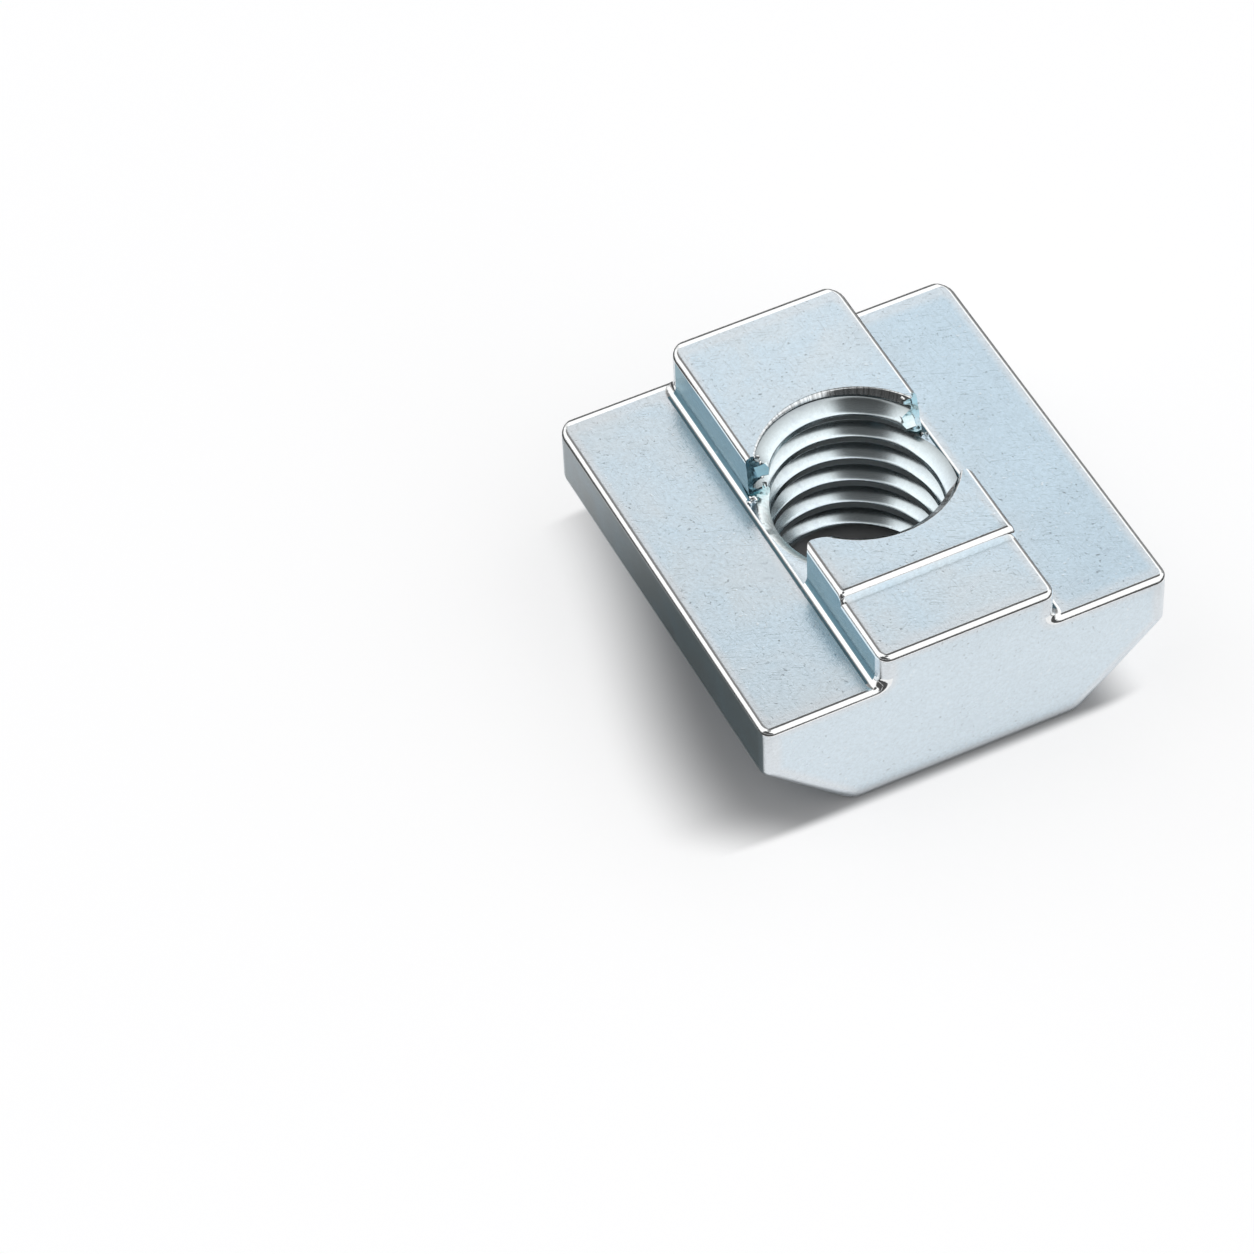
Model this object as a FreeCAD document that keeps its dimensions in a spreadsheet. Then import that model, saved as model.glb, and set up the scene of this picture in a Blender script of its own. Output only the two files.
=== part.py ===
import FreeCAD, Part
import os
import Sketcher

# Slide nut for an eight millimetre T-slot, one machined steel piece with a threaded bore.
# X runs across the nut, Y runs along the slot, Z runs up the bore.
# The origin is the middle of the narrow underside on which the nut rests.

# Driving dimensions in millimetres, one named cell of the sheet each
DIMENSIONS = {
    "nut_width": 17.2,
    "nut_length": 18.0,
    "nut_height": 7.8,
    "foot_width": 9.9,
    "chamfer_height": 3.4,
    "flange_height": 5.8,
    "boss_width": 7.25,
    "edge_radius": 0.25,
    "step_length": 3.25,
    "step_drop": 0.4,
    "tap_drill": 6.8,
    "thread_root": 8.0,
    "thread_pitch": 1.25,
    "groove_start": -1.61,
    "rim_diameter": 8.05,
    "crescent_diameter": 8.1,
    "crescent_depth": 0.5,
    "fin_reach": 0.8,
    "fin_height": 0.7,
}
COUNTERSINK_ANGLE = 90
NODE = "slide_nut"


def value(text):
    """The number that an expression on the sheet gives."""
    result = sheet.evalExpression(text)
    return float(getattr(result, "Value", result))


def origin_feature(role):
    """The body's own origin plane or axis that has this role."""
    return next(item for item in body.Origin.OriginFeatures if item.Role == role)


def new_sketch(name, plane, offset="0"):
    """An empty sketch on one of the body's planes, moved along the plane's normal."""
    sketch = body.newObject("Sketcher::SketchObject", name)
    sketch.AttachmentSupport = [(origin_feature(plane), "")]
    sketch.MapMode = "FlatFace"
    sketch.setExpression("AttachmentOffset.Base.z", offset)
    return sketch


def place_point(sketch, edge, point, place):
    """Dimension one sketch point from the origin by two expressions."""
    for kind, text in zip(("DistanceX", "DistanceY"), place):
        index = sketch.addConstraint(Sketcher.Constraint(kind, -1, 1, edge, point, value(text)))
        sketch.setExpression(f"Constraints[{index}]", text)


def draw_outline(sketch, corners, arc_after=None, arc_radius=None):
    """A closed outline through the corners, straight but for one arc about the origin."""
    places = [FreeCAD.Vector(value(across), value(up), 0) for across, up in corners]
    count = len(places)
    for number in range(count):
        start = places[number]
        end = places[(number + 1) % count]
        if number == arc_after:
            crown = FreeCAD.Vector(value(arc_radius), 0, 0)
            sketch.addGeometry(Part.Arc(start, crown, end), False)
        else:
            sketch.addGeometry(Part.LineSegment(start, end), False)
    for number in range(count):
        following = (number + 1) % count
        sketch.addConstraint(Sketcher.Constraint("Coincident", number, 2, following, 1))
    for number, corner in enumerate(corners):
        place_point(sketch, number, 1, corner)
    if arc_after is not None:
        index = sketch.addConstraint(Sketcher.Constraint("Radius", arc_after, value(arc_radius)))
        sketch.setExpression(f"Constraints[{index}]", arc_radius)


def draw_circle(sketch, diameter):
    """A circle about the sketch's origin."""
    round_edge = Part.Circle(FreeCAD.Vector(0, 0, 0), FreeCAD.Vector(0, 0, 1), value(diameter) / 2)
    sketch.addGeometry(round_edge, False)
    sketch.addConstraint(Sketcher.Constraint("Coincident", 0, 3, -1, 1))
    index = sketch.addConstraint(Sketcher.Constraint("Diameter", 0, value(diameter)))
    sketch.setExpression(f"Constraints[{index}]", diameter)


def cut_through(name, sketch, side="One side", outward=False):
    """A pocket through all that lies on one side of the sketch, or on both."""
    before = body.Shape.Volume
    pocket = body.newObject("PartDesign::Pocket", name)
    pocket.Profile = sketch
    pocket.SideType = side
    pocket.Type = "ThroughAll"
    pocket.Type2 = "ThroughAll"
    pocket.Reversed = outward
    sketch.Visibility = False
    doc.recompute()
    assert body.Shape.Volume < before, f"{name} cuts nothing"
    return pocket


# The document and its sheet of dimensions
doc = FreeCAD.newDocument(NODE)
sheet = doc.addObject("Spreadsheet::Sheet", "Dimensions")
for row, (alias, size) in enumerate(DIMENSIONS.items(), start=1):
    sheet.set(f"A{row}", alias)
    sheet.set(f"B{row}", str(size))
    sheet.setAlias(f"B{row}", alias)
doc.recompute()

body = doc.addObject("PartDesign::Body", "SlideNut")
body.Label = NODE

# The T-shaped section: narrow foot, chamfered flanks, flange and boss
half_foot = "Dimensions.foot_width / 2"
half_nut = "Dimensions.nut_width / 2"
half_boss = "Dimensions.boss_width / 2"
right_side = [
    (half_foot, "0"),
    (half_nut, "Dimensions.chamfer_height"),
    (half_nut, "Dimensions.flange_height"),
    (half_boss, "Dimensions.flange_height"),
    (half_boss, "Dimensions.nut_height"),
]
left_side = [(f"-{across}", up) for across, up in reversed(right_side)]
section = new_sketch("Section", "XZ_Plane")
draw_outline(section, right_side + left_side)
blank = body.newObject("PartDesign::Pad", "Blank")
blank.Profile = section
blank.SideType = "Symmetric"
blank.setExpression("Length", "Dimensions.nut_length")
section.Visibility = False
doc.recompute()

# The front end of the boss is one small step lower
boss_front = "-Dimensions.nut_length / 2"
step_edge = f"{boss_front} + Dimensions.step_length"
step_level = "Dimensions.nut_height - Dimensions.step_drop"
above_top = "Dimensions.nut_height + 1"
step_side = [
    (f"{boss_front} - 1", step_level),
    (step_edge, step_level),
    (step_edge, above_top),
    (f"{boss_front} - 1", above_top),
]
step_sketch = new_sketch("StepOutline", "YZ_Plane")
draw_outline(step_sketch, step_side)
step = cut_through("BossStep", step_sketch, side="Two sides")

# Every edge is rounded, and the boss meets the flange in a hollow fillet,
# but the inner corner of the small step stays sharp.
step_corner = FreeCAD.Vector(0, value(step_edge), value(step_level))
rounded_edges = [
    f"Edge{number}"
    for number, edge in enumerate(step.Shape.Edges, start=1)
    if edge.CenterOfMass.distanceToPoint(step_corner) > value("Dimensions.edge_radius") / 2
]
rounding = body.newObject("PartDesign::Fillet", "RoundedEdges")
rounding.Base = (step, rounded_edges)
rounding.setExpression("Radius", "Dimensions.edge_radius")
doc.recompute()

# The tapped bore goes right through, with a countersink at the boss
bore_sketch = new_sketch("BoreCentre", "XY_Plane", "Dimensions.nut_height")
draw_circle(bore_sketch, "Dimensions.tap_drill")
doc.recompute()
bore = body.newObject("PartDesign::Hole", "ThreadedBore")
bore.Profile = bore_sketch
doc.recompute()
bore.DepthType = "ThroughAll"
bore.HoleCutType = "Countersink"
bore.HoleCutCustomValues = True
bore.HoleCutCountersinkAngle = COUNTERSINK_ANGLE
bore.setExpression("Diameter", "Dimensions.tap_drill")
bore.setExpression("HoleCutDiameter", "Dimensions.rim_diameter")
bore_sketch.Visibility = False
doc.recompute()

# The same countersink on the underside
rim_radius = "Dimensions.rim_diameter / 2"
drill_radius = "Dimensions.tap_drill / 2"
countersink_depth = f"({rim_radius} - {drill_radius})"
countersink_section = [
    ("0", "0"),
    (rim_radius, "0"),
    (drill_radius, countersink_depth),
    ("0", countersink_depth),
]
lower_sketch = new_sketch("LowerCountersinkSection", "XZ_Plane")
draw_outline(lower_sketch, countersink_section)
doc.recompute()
lower_countersink = body.newObject("PartDesign::Groove", "LowerCountersink")
lower_countersink.Profile = lower_sketch
lower_countersink.ReferenceAxis = (lower_sketch, ["V_Axis"])
lower_countersink.Angle = 360
lower_sketch.Visibility = False
doc.recompute()

# The bore is wider than the boss, so it also bites two crescents out of the flange top
crescent_radius = "Dimensions.crescent_diameter / 2"
half_opening = f"sqrt(({crescent_radius})^2 - ({half_boss})^2)"
crescent = [
    ("0", f"-{half_opening}"),
    (half_boss, f"-{half_opening}"),
    (half_boss, half_opening),
    ("0", half_opening),
]
crescent_floor = "Dimensions.flange_height - Dimensions.crescent_depth"
crescent_sketch = new_sketch("CrescentOutline", "XY_Plane", crescent_floor)
draw_outline(crescent_sketch, crescent, arc_after=1, arc_radius=crescent_radius)
crescent_cut = body.newObject("PartDesign::Pocket", "Crescent")
crescent_cut.Profile = crescent_sketch
crescent_cut.Reversed = True
crescent_cut.setExpression("Length", "Dimensions.crescent_depth + Dimensions.edge_radius")
crescent_sketch.Visibility = False
volume_before_crescent = body.Shape.Volume
doc.recompute()
assert body.Shape.Volume < volume_before_crescent, "the crescent cuts nothing"
other_crescent = body.newObject("PartDesign::Mirrored", "OtherCrescent")
other_crescent.Originals = [crescent_cut]
other_crescent.MirrorPlane = (origin_feature("YZ_Plane"), [""])
body.Tip = other_crescent
doc.recompute()


def broken_wall(name, first_fin, outward):
    """Break the thin boss wall beside the bore open, with torn fins of thread left on its rear edge."""
    opening_floor = "Dimensions.flange_height"
    opening = [
        (f"-{half_opening}", above_top),
        (f"-{half_opening}", opening_floor),
        (half_opening, opening_floor),
    ]
    level = value(first_fin)
    text = first_fin
    while level < value("Dimensions.nut_height"):
        opening += [
            (half_opening, f"{text} - Dimensions.fin_height / 2"),
            (f"{half_opening} - Dimensions.fin_reach", text),
            (half_opening, f"{text} + Dimensions.fin_height / 2"),
        ]
        level += value("Dimensions.thread_pitch")
        text = f"{text} + Dimensions.thread_pitch"
    opening.append((half_opening, above_top))
    sketch = new_sketch(f"{name}Outline", "YZ_Plane")
    draw_outline(sketch, opening)
    return cut_through(name, sketch, outward=outward)


# The helix stands half a turn higher on one side than on the other
lowest_fin = "Dimensions.flange_height + Dimensions.fin_height / 2 + 0.1"
right_wall = broken_wall("BrokenRightWall", f"{lowest_fin} + Dimensions.thread_pitch / 2", outward=True)
left_wall = broken_wall("BrokenLeftWall", lowest_fin, outward=False)

# The thread's groove winds up the bore. At its mouth it leaves a quarter of the pitch as crest,
# and its bottom is an eighth of the pitch wide.
root_radius = "Dimensions.thread_root / 2"
groove_depth = f"({root_radius} - {drill_radius})"
overlap = 0.1
half_mouth = f"Dimensions.thread_pitch * (3 / 8 + 5 / 16 * {overlap} / {groove_depth})"
half_bottom = "Dimensions.thread_pitch / 16"
groove_section = [
    (f"{drill_radius} - {overlap}", f"Dimensions.groove_start - {half_mouth}"),
    (root_radius, f"Dimensions.groove_start - {half_bottom}"),
    (root_radius, f"Dimensions.groove_start + {half_bottom}"),
    (f"{drill_radius} - {overlap}", f"Dimensions.groove_start + {half_mouth}"),
]
groove_sketch = new_sketch("GrooveSection", "XZ_Plane")
draw_outline(groove_sketch, groove_section)
doc.recompute()
volume_before_groove = body.Shape.Volume
groove = body.newObject("PartDesign::SubtractiveHelix", "ThreadGroove")
groove.Profile = groove_sketch
groove.ReferenceAxis = (groove_sketch, ["V_Axis"])
groove.Mode = "pitch-height-angle"
groove.setExpression("Pitch", "Dimensions.thread_pitch")
groove.setExpression("Height", "Dimensions.nut_height + 2 * Dimensions.thread_pitch")
groove_sketch.Visibility = False
doc.recompute()
assert body.Shape.Volume < volume_before_groove, "the thread cuts nothing"

# Nothing is written unless every object is sound
for item in doc.Objects:
    faults = {"Invalid", "Error"} & set(item.State)
    assert not faults, f"{item.Name}: {faults}"
assert not body.Shape.isNull() and body.Shape.isValid(), "the nut's shape is not sound"
assert len(body.Shape.Solids) == 1, "the nut is not one solid"

os.makedirs("parts", exist_ok=True)
body.Shape.exportStep(f"parts/{body.Label}.step")
print(f"{body.Label}: {body.Shape.Volume:.1f} cubic millimetres, {len(body.Shape.Faces)} faces")
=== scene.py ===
import math
import random

import bmesh
import bpy
from mathutils import Matrix, Vector


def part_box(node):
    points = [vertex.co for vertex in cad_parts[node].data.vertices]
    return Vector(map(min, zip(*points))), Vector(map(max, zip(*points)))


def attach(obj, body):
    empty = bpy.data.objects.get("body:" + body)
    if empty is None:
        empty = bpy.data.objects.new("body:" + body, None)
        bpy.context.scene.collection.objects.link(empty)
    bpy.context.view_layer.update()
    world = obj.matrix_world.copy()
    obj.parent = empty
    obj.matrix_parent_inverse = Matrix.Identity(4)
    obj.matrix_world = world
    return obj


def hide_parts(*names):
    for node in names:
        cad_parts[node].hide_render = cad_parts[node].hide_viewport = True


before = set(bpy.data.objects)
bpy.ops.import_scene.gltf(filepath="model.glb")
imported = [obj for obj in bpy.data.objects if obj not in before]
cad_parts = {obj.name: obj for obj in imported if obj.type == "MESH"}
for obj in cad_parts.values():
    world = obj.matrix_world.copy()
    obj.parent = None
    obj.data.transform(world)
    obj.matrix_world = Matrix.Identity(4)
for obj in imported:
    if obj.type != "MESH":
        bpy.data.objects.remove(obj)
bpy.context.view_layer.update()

bl_info = {
    "name": "Slide nut",
    "version": (1, 0, 0),
    "blender": (4, 5, 0),
    "location": "3D View > Sidebar > Slide nut",
    "description": "Builds a zinc plated slide nut with a threaded bore",
    "category": "Object",
}

NODE = "slide_nut"
CAD_LOW, CAD_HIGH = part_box(NODE)


# Sizes, colours and settings that a user would change

def length(name, description, default):
    """A length property in metres."""
    return bpy.props.FloatProperty(
        name=name, description=description, default=default, unit="LENGTH", precision=6)


def colour(name, description, default):
    """A colour property."""
    return bpy.props.FloatVectorProperty(
        name=name, description=description, default=default, size=3, min=0, max=1, subtype="COLOR")


def number(name, description, default, low=0.0, high=1.0):
    """A plain number property."""
    return bpy.props.FloatProperty(name=name, description=description, default=default, min=low, max=high)


class NutSizes(bpy.types.PropertyGroup):
    """Sizes of the nut, in metres."""
    width: length("Width", "Across the flange", CAD_HIGH[0] - CAD_LOW[0])
    length: length("Length", "Along the slot", CAD_HIGH[1] - CAD_LOW[1])
    height: length("Height", "From the foot to the top of the boss", CAD_HIGH[2])
    foot_width: length("Foot width", "Flat underside between the chamfers", 0.0102)
    chamfer_height: length("Chamfer height", "Top of the chamfered flanks", 0.0033)
    flange_height: length("Flange height", "Top of the flange", 0.0058)
    boss_width: length("Boss width", "Raised bar that runs in the slot", 0.00744)
    boss_fillet: length("Boss fillet", "Hollow rounding between boss and flange", 0.00038)
    edge_radius: length("Edge radius", "Rounding of the outer edges", 0.00024)
    foot_radius: length("Foot radius", "Rounding between the underside and the chamfered flanks", 0.0008)
    flank_radius: length("Flank radius", "Rounding between the chamfered flanks and the sides", 0.0004)
    front_radius: length("Front radius", "Rounding of the upright corners at the front", 0.0005)
    rear_radius: length("Rear radius", "Rounding of the upright corners at the rear", 0.0008)
    step_length: length("Step length", "Lowered front end of the boss", 0.00325)
    step_drop: length("Step drop", "How much lower the front end is", 0.0004)
    step_radius: length("Step radius", "Rounding at the top of the step", 0.00027)
    core_radius: length("Core radius", "Crest of the thread", 0.0034)
    root_radius: length("Root radius", "Bottom of the thread groove", 0.0040)
    pitch: length("Pitch", "Rise of the thread in one turn", 0.00125)
    thread_start: length("Thread start", "Height at which the helix begins", -0.00224)
    rim_radius: length("Rim radius", "Countersink at both mouths of the bore", 0.00398)
    crescent_radius: length("Crescent radius", "Bite of the bore in the flange top", 0.00375)
    crescent_depth: length("Crescent depth", "How far the bite goes down", 0.00014)
    stub_height: length("Stub height", "What is left of the boss wall beside the bore", 0.00006)


class NutFinish(bpy.types.PropertyGroup):
    """Colours of the plating."""
    zinc: colour("Zinc", "Blue-white zinc on the flats", (0.665, 0.79, 0.88))
    # Pale zinc also paints the upright faces of the satin zinc paler: painted light
    zinc_pale_and_painted_light: colour("Pale zinc", "Greyer zinc in patches", (0.73, 0.82, 0.88))
    zinc_deep: colour("Deep zinc", "Bluer zinc towards the right side", (0.60, 0.735, 0.835))
    zinc_edge: colour("Edge zinc", "Warm grey zinc beside the edges", (0.79, 0.81, 0.83))
    # Painted shade: the boss walls take this darker blue-green in their colour
    wall: colour("Wall zinc", "Blue-green zinc on the walls of the boss", (0.22, 0.385, 0.46))
    # Painted shade: the corner between boss and flange is darkened in its colour
    hollow: colour("Hollow zinc", "Darker zinc in the corner between boss and flange", (0.155, 0.275, 0.335))
    side: colour("Side zinc", "Grey zinc on the sides", (0.70, 0.73, 0.74))
    thread: colour("Thread zinc", "Zinc on the flanks of the thread", (0.82, 0.92, 0.95))
    torn: colour("Torn zinc", "Torn ends of the thread", (0.55, 0.76, 0.80))
    bright: colour("Bright edges", "Polished rounded edges", (0.92, 0.93, 0.93))
    # This dark colour is both the colour of real flecks and marks and where the painted shade on the thread
    # leads
    pits_and_painted_shade: colour("Pits", "Dark flecks in the plating", (0.20, 0.21, 0.21))


class NutStage(bpy.types.PropertyGroup):
    """Camera, floor and light."""
    azimuth: number("Azimuth", "Camera angle round the nut, in degrees", -23.743, -180, 180)
    elevation: number("Elevation", "Camera angle above the floor, in degrees", 48.603, -90, 90)
    roll: number("Roll", "Camera turned about its view, in degrees", -2.938, -180, 180)
    distance: length("Distance", "Camera from the nut", 0.211592)
    lens: number("Lens", "Focal length in millimetres", 155.23, 10, 500)
    aim_across: length("Aim across", "View centre, to the right of the nut's origin", -0.00904)
    aim_up: length("Aim up", "View centre, above the nut's origin", -0.001115)
    floor: colour("Floor", "Pale floor", (0.45, 0.45, 0.455))
    glow: number("Floor glow", "Evens the open floor out to white", 0.64)


# Node helpers

def group_socket(tree, name, kind, default=None, output=False):
    """One named input or output on a node tree."""
    socket = tree.interface.new_socket(name=name, in_out="OUTPUT" if output else "INPUT", socket_type=kind)
    if default is not None:
        socket.default_value = default
    return socket


def add(tree, kind, values=None, **settings):
    """A node with its settings, and each input either linked to a socket or given a value."""
    node = tree.nodes.new(kind)
    for name, setting in settings.items():
        setattr(node, name, setting)
    for key, value in (values or {}).items():
        if isinstance(value, bpy.types.NodeSocket):
            tree.links.new(value, node.inputs[key])
        else:
            node.inputs[key].default_value = value
    return node


def calculate(tree, operation, *values):
    """The result socket of one Math node."""
    return add(tree, "ShaderNodeMath", dict(enumerate(values)), operation=operation).outputs[0]


def ramp(tree, value, low, high, to_low=0.0, to_high=1.0, soft=False):
    """The result socket of one Map Range node."""
    return add(tree, "ShaderNodeMapRange", {
        "Value": value, "From Min": low, "From Max": high, "To Min": to_low, "To Max": to_high,
    }, interpolation_type="SMOOTHSTEP" if soft else "LINEAR").outputs[0]


def blend(tree, share, first, second):
    """The colour socket of one Mix node."""
    return add(tree, "ShaderNodeMix", {0: share, 6: first, 7: second}, data_type="RGBA").outputs[2]


def vector_math(tree, operation, values):
    """The vector socket of one Vector Math node."""
    return add(tree, "ShaderNodeVectorMath", values, operation=operation).outputs[0]


def parts(tree, vector):
    """The X, Y and Z sockets of a vector."""
    return add(tree, "ShaderNodeSeparateXYZ", {0: vector}).outputs


def realized(tree, geometry, material):
    """The geometry socket after Realize Instances and Set Material."""
    real = add(tree, "GeometryNodeRealizeInstances", {"Geometry": geometry}).outputs[0]
    return add(tree, "GeometryNodeSetMaterial", {"Geometry": real, "Material": material}).outputs[0]


def set_inputs(modifier, tree, values):
    """Give a Geometry Nodes modifier its inputs, by the sockets' identifiers."""
    for item in tree.interface.items_tree:
        if item.item_type == "SOCKET" and item.in_out == "INPUT" and item.name in values:
            modifier[item.identifier] = values[item.name]


# The thread as a node tree

THREAD_TURNS = 10
COLUMNS = 128
ROWS_PER_TURN = 16
CREST_SHARE = 0.25
ROOT_SHARE = 0.125
ROW_SLACK = 0.0001
MERGE_DISTANCE = 0.000002


def thread_tree():
    """A tree that makes the solid core of a right-hand thread, to be cut out of the nut."""
    tree = bpy.data.node_groups.new("Thread core", "GeometryNodeTree")
    for name, kind, default in (
            ("Core Radius", "Float", 0.0034), ("Root Radius", "Float", 0.0040), ("Pitch", "Float", 0.00125),
            ("Start", "Float", -0.002), ("Turns", "Int", THREAD_TURNS), ("Columns", "Int", COLUMNS),
            ("Rows Per Turn", "Int", ROWS_PER_TURN)):
        group_socket(tree, name, "NodeSocket" + kind, default)
    group_socket(tree, "Material", "NodeSocketMaterial")
    group_socket(tree, "Geometry", "NodeSocketGeometry", output=True)
    given = add(tree, "NodeGroupInput").outputs

    # A flat grid, one turn wide and all turns high, is rolled up so that its rows follow the helix
    across_count = calculate(tree, "ADD", given["Columns"], 1)
    up_count = calculate(tree, "MULTIPLY_ADD", given["Turns"], given["Rows Per Turn"], 1)
    grid = add(tree, "GeometryNodeMeshGrid", {
        "Size X": 1.0, "Size Y": given["Turns"], "Vertices X": across_count, "Vertices Y": up_count})
    here = parts(tree, add(tree, "GeometryNodeInputPosition").outputs[0])
    turn_part = calculate(tree, "ADD", here["X"], 0.5)
    half_turns = calculate(tree, "MULTIPLY", given["Turns"], 0.5)
    row = calculate(tree, "ADD", here["Y"], half_turns)
    climb = calculate(tree, "ADD", row, turn_part)

    # A quarter of the pitch is the flat crest, an eighth is the root, and straight flanks join them
    row_part = calculate(tree, "FRACT", calculate(tree, "ADD", row, ROW_SLACK))
    centred = calculate(tree, "MULTIPLY_ADD", row_part, 2, -1)
    into_groove = calculate(tree, "SUBTRACT", 1, calculate(tree, "ABSOLUTE", centred))
    groove = ramp(tree, into_groove, CREST_SHARE, 1 - ROOT_SHARE, given["Core Radius"], given["Root Radius"])

    # Rows beyond either end close on the axis
    last = calculate(tree, "SUBTRACT", given["Turns"], 1)
    lower_end = calculate(tree, "GREATER_THAN", climb, 1 - ROW_SLACK)
    upper_end = calculate(tree, "LESS_THAN", climb, calculate(tree, "ADD", given["Turns"], ROW_SLACK))
    inside = calculate(tree, "MULTIPLY", lower_end, upper_end)
    radius = calculate(tree, "MULTIPLY", groove, inside)
    level = calculate(tree, "SUBTRACT", climb, 1)
    level = calculate(tree, "MINIMUM", calculate(tree, "MAXIMUM", level, 0), last)
    rise = calculate(tree, "MULTIPLY_ADD", level, given["Pitch"], given["Start"])
    angle = calculate(tree, "MULTIPLY", turn_part, math.tau)
    rolled = add(tree, "ShaderNodeCombineXYZ", {
        "X": calculate(tree, "MULTIPLY", radius, calculate(tree, "COSINE", angle)),
        "Y": calculate(tree, "MULTIPLY", radius, calculate(tree, "SINE", angle)),
        "Z": rise})
    core = add(tree, "GeometryNodeSetPosition", {
        "Geometry": grid.outputs["Mesh"], "Position": rolled.outputs[0]})
    core = add(tree, "GeometryNodeMergeByDistance", {"Geometry": core.outputs[0], "Distance": MERGE_DISTANCE})
    add(tree, "NodeGroupOutput", {0: realized(tree, core.outputs[0], given["Material"])})
    return tree


# Torn crumbs of metal as a node tree

def crumbs_tree():
    """A tree that sets one crumpled crumb on each point, each turned and sized by chance."""
    tree = bpy.data.node_groups.new("Torn crumbs", "GeometryNodeTree")
    group_socket(tree, "Geometry", "NodeSocketGeometry")
    group_socket(tree, "Size", "NodeSocketFloat", 0.0002)
    group_socket(tree, "Crumple", "NodeSocketFloat", 0.5)
    group_socket(tree, "Seed", "NodeSocketInt", 5)
    group_socket(tree, "Material", "NodeSocketMaterial")
    group_socket(tree, "Geometry", "NodeSocketGeometry", output=True)
    given = add(tree, "NodeGroupInput").outputs
    lump = add(tree, "GeometryNodeMeshIcoSphere", {"Radius": 1.0, "Subdivisions": 2})
    turned = add(tree, "FunctionNodeRandomValue", {
        0: (0, 0, 0), 1: (math.tau, math.tau, math.tau), "Seed": given["Seed"]}, data_type="FLOAT_VECTOR")
    sized = add(tree, "FunctionNodeRandomValue", {
        0: (0.8, 0.45, 0.35), 1: (1.4, 0.8, 0.6), "Seed": calculate(tree, "ADD", given["Seed"], 1)},
        data_type="FLOAT_VECTOR")
    scale = vector_math(tree, "SCALE", {0: sized.outputs[0], "Scale": given["Size"]})
    spread = add(tree, "GeometryNodeInstanceOnPoints", {
        "Points": given["Geometry"], "Instance": lump.outputs["Mesh"], "Rotation": turned.outputs[0],
        "Scale": scale})
    real = add(tree, "GeometryNodeRealizeInstances", {"Geometry": spread.outputs[0]})

    # Every crumb is pushed about by a noise as large as itself
    here = add(tree, "GeometryNodeInputPosition").outputs[0]
    closeness = calculate(tree, "DIVIDE", 0.9, given["Size"])
    noise = add(tree, "ShaderNodeTexNoise", {"Vector": here, "Scale": closeness, "Detail": 1.0})
    push = vector_math(tree, "ADD", {0: noise.outputs["Color"], 1: (-0.5, -0.5, -0.5)})
    reach = calculate(tree, "MULTIPLY", given["Size"], given["Crumple"])
    push = vector_math(tree, "SCALE", {0: push, "Scale": reach})
    crumpled = add(tree, "GeometryNodeSetPosition", {"Geometry": real.outputs[0], "Offset": push})
    add(tree, "NodeGroupOutput", {0: realized(tree, crumpled.outputs[0], given["Material"])})
    return tree


# Shader node groups that the finishes share

def plating_grain_group():
    """Grain, cloudy patches and small flecks of zinc plating, from a position in metres."""
    tree = bpy.data.node_groups.new("Plating grain", "ShaderNodeTree")
    group_socket(tree, "Position", "NodeSocketVector")
    group_socket(tree, "Grain Size", "NodeSocketFloat", 0.00012)
    group_socket(tree, "Patch Size", "NodeSocketFloat", 0.0025)
    group_socket(tree, "Fleck Size", "NodeSocketFloat", 0.00016)
    for name in ("Grain", "Patches", "Dark Flecks", "Light Flecks"):
        group_socket(tree, name, "NodeSocketFloat", output=True)
    given = add(tree, "NodeGroupInput").outputs
    here = given["Position"]

    def noise(size, **settings):
        """The value of a noise whose lumps are about this size."""
        values = {"Vector": here, "Scale": calculate(tree, "DIVIDE", 1, size)} | settings
        return add(tree, "ShaderNodeTexNoise", values).outputs[0]

    grain = noise(given["Grain Size"], Detail=3.0, Roughness=0.6)
    patches = noise(given["Patch Size"], Detail=3.0, Roughness=0.5, Distortion=0.6)
    flecks = noise(given["Fleck Size"], Detail=1.5, Roughness=0.5, Distortion=0.3)
    gathered = noise(calculate(tree, "MULTIPLY", given["Fleck Size"], 9), Detail=1.0)
    shift = ramp(tree, gathered, 0.3, 0.7, -0.045, 0.045)
    leaning = calculate(tree, "ADD", flecks, shift)
    dark = ramp(tree, leaning, 0.68, 0.80)
    light = ramp(tree, leaning, 0.32, 0.22)
    add(tree, "NodeGroupOutput", {
        "Grain": grain, "Patches": patches, "Dark Flecks": dark, "Light Flecks": light})
    return tree


def handling_marks_group():
    """Short fine scratches in three directions, from a position in metres."""
    tree = bpy.data.node_groups.new("Handling marks", "ShaderNodeTree")
    group_socket(tree, "Position", "NodeSocketVector")
    group_socket(tree, "Mark Length", "NodeSocketFloat", 0.0006)
    group_socket(tree, "Marks", "NodeSocketFloat", output=True)
    given = add(tree, "NodeGroupInput").outputs
    marks = 0.0
    for turn in (0.4, 1.5, 2.5):
        turned = add(tree, "ShaderNodeVectorRotate", {
            "Vector": given["Position"], "Angle": turn}, rotation_type="Z_AXIS").outputs[0]
        drawn = vector_math(tree, "MULTIPLY_ADD", {0: turned, 1: (1.0, 9.0, 9.0), 2: (turn, turn, turn)})
        streaks = add(tree, "ShaderNodeTexNoise", {
            "Vector": drawn, "Scale": calculate(tree, "DIVIDE", 1, given["Mark Length"]),
            "Detail": 1.0, "Distortion": 0.8}).outputs[0]
        marks = calculate(tree, "MAXIMUM", marks, ramp(tree, streaks, 0.66, 0.74))
    add(tree, "NodeGroupOutput", {"Marks": marks})
    return tree


def shared_group(name, build):
    """A node group that is built once."""
    return bpy.data.node_groups.get(name) or build()


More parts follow.
